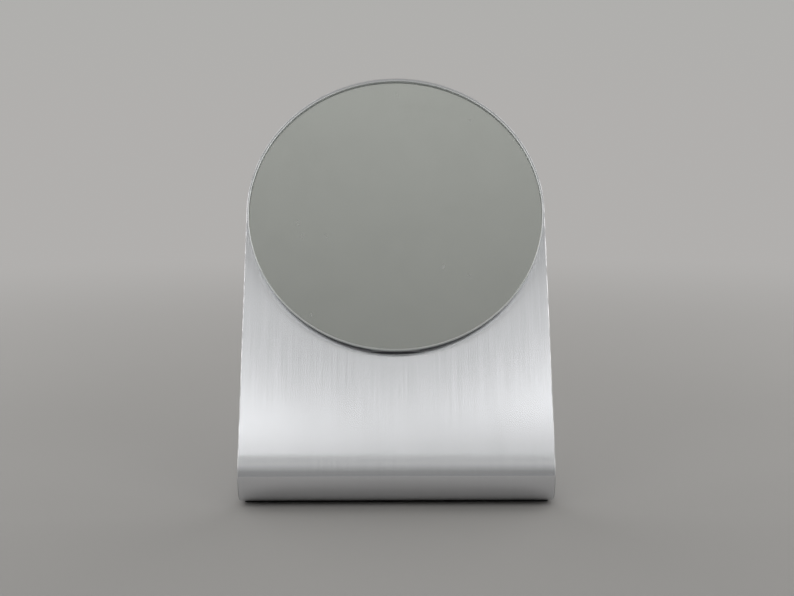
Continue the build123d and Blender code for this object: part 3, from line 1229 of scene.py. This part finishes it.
@dataclass
class TiltingMirror:
    """The strap, the hinge and the mirror that tilts on it."""

    workshop: Workshop
    rim_bevel: float = 0.0006
    back_seam: float = 0.0002
    bond: float = 0.00002
    silver_margin: float = 0.00015
    plate_edge: float = 0.0002
    tape_edge: float = 0.0001
    tape_count: int = 6
    segments: int = 240
    face_on: float = 0.99
    edge_on: float = 0.01

    def build(self) -> None:
        """Builds and dresses the carrier and the mirror."""
        for name, node, body, slot, finish in (
            # The strap's finish carries painted shade: a darker steel tone standing in for the
            # shade in the gap under the mirror.
            ("swivel_strap", "carrier_strap", Body.CARRIER, "strap_steel", STRAP_STEEL_WITH_PAINTED_SHADE),
            ("tilt_pin", "hinge_pin", Body.CARRIER, "fastener_steel", FASTENER),
            ("mirror_backing", "backing_plate", Body.MIRROR, "plate_aluminium", PLATE_FACE),
        ):
            hand_in_copy(name, node, body, slot, finish, self.plate_edge)
        self.build_tape()
        self.build_glass()

    def build_tape(self) -> None:
        """Lays the strips of tape on the backing plate."""
        sector = math.pi / self.tape_count
        first = [point for point in ARM.points("mirror_tape")
                 if point.x > 0 and abs(math.atan2(point.y, point.x)) < sector]
        inner, outer = min(point.x for point in first), max(point.x for point in first)
        low, high = min(point.z for point in first), max(point.z for point in first)
        half = max(point.y for point in first)
        right = [Station((outer - inner) / 2, end, 1.0, 0.0) for end in (-half, half)]
        strip = rounded_slab(right, high - low, self.tape_edge, 2)
        strip.transform(Matrix.Translation((0.0, 0.0, high)))
        mesh = self.workshop.repeat(strip, self.tape_count, (inner + outer) / 2, 0.0, FOAM)
        hand_in("tape_strips", mesh, Body.MIRROR, "tape_foam", "mirror_tape")

    def build_glass(self) -> None:
        """Turns the reflecting layer, painted on its back, and the glass in front of it."""
        silver = ARM.turned("mirror_silver")
        glass = ARM.turned("mirror_glass")
        seam = glass.radius - self.back_seam
        reach = seam - self.silver_margin
        layer = [(0.0, silver.low), (reach, silver.low), (reach, silver.high), (0.0, silver.high)]
        mesh = self.turn(layer, SILVER)
        mesh.materials.append(BACK_PAINT.material())
        for polygon in mesh.polygons:
            polygon.material_index = int(polygon.normal.dot(ARM.outward) < -self.face_on)
        hand_in("reflecting_layer", mesh, Body.MIRROR, "mirror_silver", "mirror_silver")

        back = glass.low + self.bond
        profile = [
            (0.0, back), (seam, back), (glass.radius, back + self.back_seam),
            (glass.radius, glass.high - self.rim_bevel),
            (glass.radius - self.rim_bevel, glass.high), (0.0, glass.high),
        ]
        mesh = self.turn(profile, GLASS)
        mesh.materials.append(GLASS_RIM.material())
        mesh.materials.append(GLASS_ARRIS.material())
        for polygon in mesh.polygons:
            facing = abs(polygon.normal.dot(ARM.outward))
            beside = 1 if facing < self.edge_on else 2
            polygon.material_index = 0 if facing > self.face_on else beside
        hand_in("round_glass", mesh, Body.MIRROR, "mirror_glass", "mirror_glass")

    def turn(self, profile: Profile, finish: Finish) -> Mesh:
        """Turns an open profile about the arm and returns its mesh in the frame's place."""
        return self.workshop.set_on_arm(self.workshop.spin(profile, False, finish, self.segments))


@dataclass(frozen=True)
class LampPair:
    """Two soft studio lamps, one on each side."""

    name: str
    right: Triple
    width: float
    height: float
    radiance: float
    left_drop: float = 0.0

    def build(self, target: Vector) -> None:
        """Hangs the lamps and points them.

        Args:
            target: Where they point.
        """
        x, y, z = self.right
        for side, place in (("left", (-x, y, z - self.left_drop)), ("right", (x, y, z))):
            lamp = bpy.data.lights.new(f"{side}_{self.name}", "AREA")
            lamp.shape = "RECTANGLE"
            lamp.size, lamp.size_y = self.width, self.height
            lamp.energy = ENERGY_PER_RADIANCE * self.radiance * self.width * self.height
            holder = placed(lamp.name, lamp)
            holder.location = place
            aim = target - holder.location
            holder.rotation_euler = aim.to_track_quat("-Z", "Y").to_euler()


@dataclass
class Studio:
    """The floor, the light and the camera."""

    floor_size: float = 40.0
    floor_colour: Triple = (0.42, 0.41, 0.40)
    floor_patches: float = 3.0
    floor_shade: float = 0.97
    floor_roughness: float = 0.9
    floor_specular: float = 0.1
    floor_fade: Span = (0.3, 1.6)
    back_colour: Triple = (0.44, 0.43, 0.42)
    front_colour: Triple = (0.25, 0.25, 0.25)
    front_to_back: Span = (-0.35, 0.35)
    front_sky: tuple[Span, ...] = (
        (0.15, 0.26), (0.35, 0.29), (0.5, 0.40), (0.6, 0.43),
        (0.69, 0.31), (0.729, 0.262), (0.84, 0.39), (1.0, 0.32),
    )
    back_sky: tuple[Span, ...] = ((0.12, 0.43), (0.35, 0.28), (0.6, 0.20), (1.0, 0.32))
    sky_blue: float = 0.97
    sensor_width: float = 36.0
    lens: float = 65.72
    camera_place: Triple = (0.0008, -0.9952, 0.2509)
    camera_pitch: float = -7.20
    camera_roll: float = -0.21
    lamps: tuple[LampPair, ...] = (
        LampPair("softbox", (0.74, -0.72, 0.96), 0.75, 0.40, 0.86),
        LampPair("strip", (0.48, -0.84, 0.900), 0.5, 0.06, 1.4, left_drop=0.045),
        LampPair("fill", (0.78, -0.85, 0.50), 0.75, 0.40, 0.38),
        LampPair("side_strip", (1.20, 0.15, 0.36), 0.6, 0.5, 2.0),
        LampPair("back_softbox", (1.00, 0.85, 1.05), 1.6, 1.4, 0.85),
    )

    def build(self) -> None:
        """Sets up the floor, the surroundings, the lamps and the camera."""
        self.build_floor()
        self.build_surroundings()
        middle = (CAD_BOX[0] + CAD_BOX[1]) / 2
        for pair in self.lamps:
            pair.build(middle)
        self.build_camera()
        bpy.context.scene.view_settings.view_transform = "Standard"

    def build_floor(self) -> None:
        """Lays a pale floor that fades into the surroundings far away."""
        mesh = bpy.data.meshes.new("floor")
        half = self.floor_size / 2
        corners = [(-half, -half, 0), (half, -half, 0), (half, half, 0), (-half, half, 0)]
        mesh.from_pydata(corners, [], [(0, 1, 2, 3)])
        paint = Paint("pale_floor")
        darker = dimmed(self.floor_colour, self.floor_shade)
        tone = paint.blend(paint.noise(self.floor_patches, 2.0), self.floor_colour, darker)
        paint.set(Base_Color=tone, Roughness=self.floor_roughness,
                  Specular_IOR_Level=self.floor_specular)
        x, y, _ = paint.separate(paint.place)
        distance = paint.flat_length(x, y)
        backward = paint.between(paint.math("DIVIDE", y, distance), *self.front_to_back)
        glow = paint.blend(backward, self.front_colour, self.back_colour)
        far = paint.add("ShaderNodeEmission", {0: glow})
        fade = paint.between(distance, *self.floor_fade)
        shaders = {0: fade, 1: paint.shader.outputs[0], 2: far.outputs[0]}
        both = paint.add("ShaderNodeMixShader", shaders).outputs[0]
        paint.feed(paint.tree.nodes["Material Output"].inputs["Surface"], both)
        mesh.materials.append(paint.material)
        floor = placed("floor", mesh)

    def build_surroundings(self) -> None:
        """Paints a soft room: pale behind the object, grey above and dim in front of it."""
        world = bpy.data.worlds.new("soft_room")
        world.use_nodes = True
        bpy.context.scene.world = world
        graph = Graph(world.node_tree)
        direction = graph.add("ShaderNodeTexCoord").outputs["Generated"]
        _, y, z = graph.separate(direction)
        front = self.sky(graph, z, self.front_sky, self.front_colour)
        back = self.sky(graph, z, self.back_sky, self.back_colour)
        room = graph.blend(graph.between(y, *self.front_to_back), front, back)
        graph.feed(world.node_tree.nodes["Background"].inputs["Color"], room)

    def sky(self, graph: Graph, height: Link, stops: Sequence[Span], horizon: Triple) -> Link:
        """Shades one side of the surroundings from the horizon up.

        Args:
            graph: The surroundings' tree.
            height: Socket of the direction's height, from 0 to 1.
            stops: Height and brightness of each step above the horizon.
            horizon: The horizon's colour.

        Returns:
            The colour's socket.
        """
        ramp = graph.add("ShaderNodeValToRGB", {0: height})
        steps = ramp.color_ramp.elements
        steps[0].color = opaque(horizon)
        steps.remove(steps[1])
        for place, grey in stops:
            steps.new(place).color = (grey, grey, self.sky_blue * grey, 1.0)
        return ramp.outputs[0]

    def build_camera(self) -> None:
        """Sets the camera where the photograph was taken from."""
        camera = bpy.data.cameras.new("camera")
        camera.sensor_width = self.sensor_width
        camera.lens = self.lens
        holder = placed("camera", camera)
        holder.location = self.camera_place
        pitch = Euler((math.radians(90.0 + self.camera_pitch), 0.0, 0.0)).to_matrix()
        roll = Euler((0.0, 0.0, math.radians(self.camera_roll))).to_matrix()
        holder.rotation_euler = (pitch @ roll).to_euler()
        bpy.context.scene.camera = holder


def main() -> None:
    """Builds every sub-assembly in order, then the studio round them."""
    logging.basicConfig(level=logging.INFO, format="%(message)s")
    workshop = Workshop(turning_rule(), ring_rule(), punch_and_bend_rule())
    Stand(workshop).build()
    SlidingArm(workshop).build()
    TiltingMirror(workshop).build()
    Studio().build()


if __name__ == "__main__":
    main()
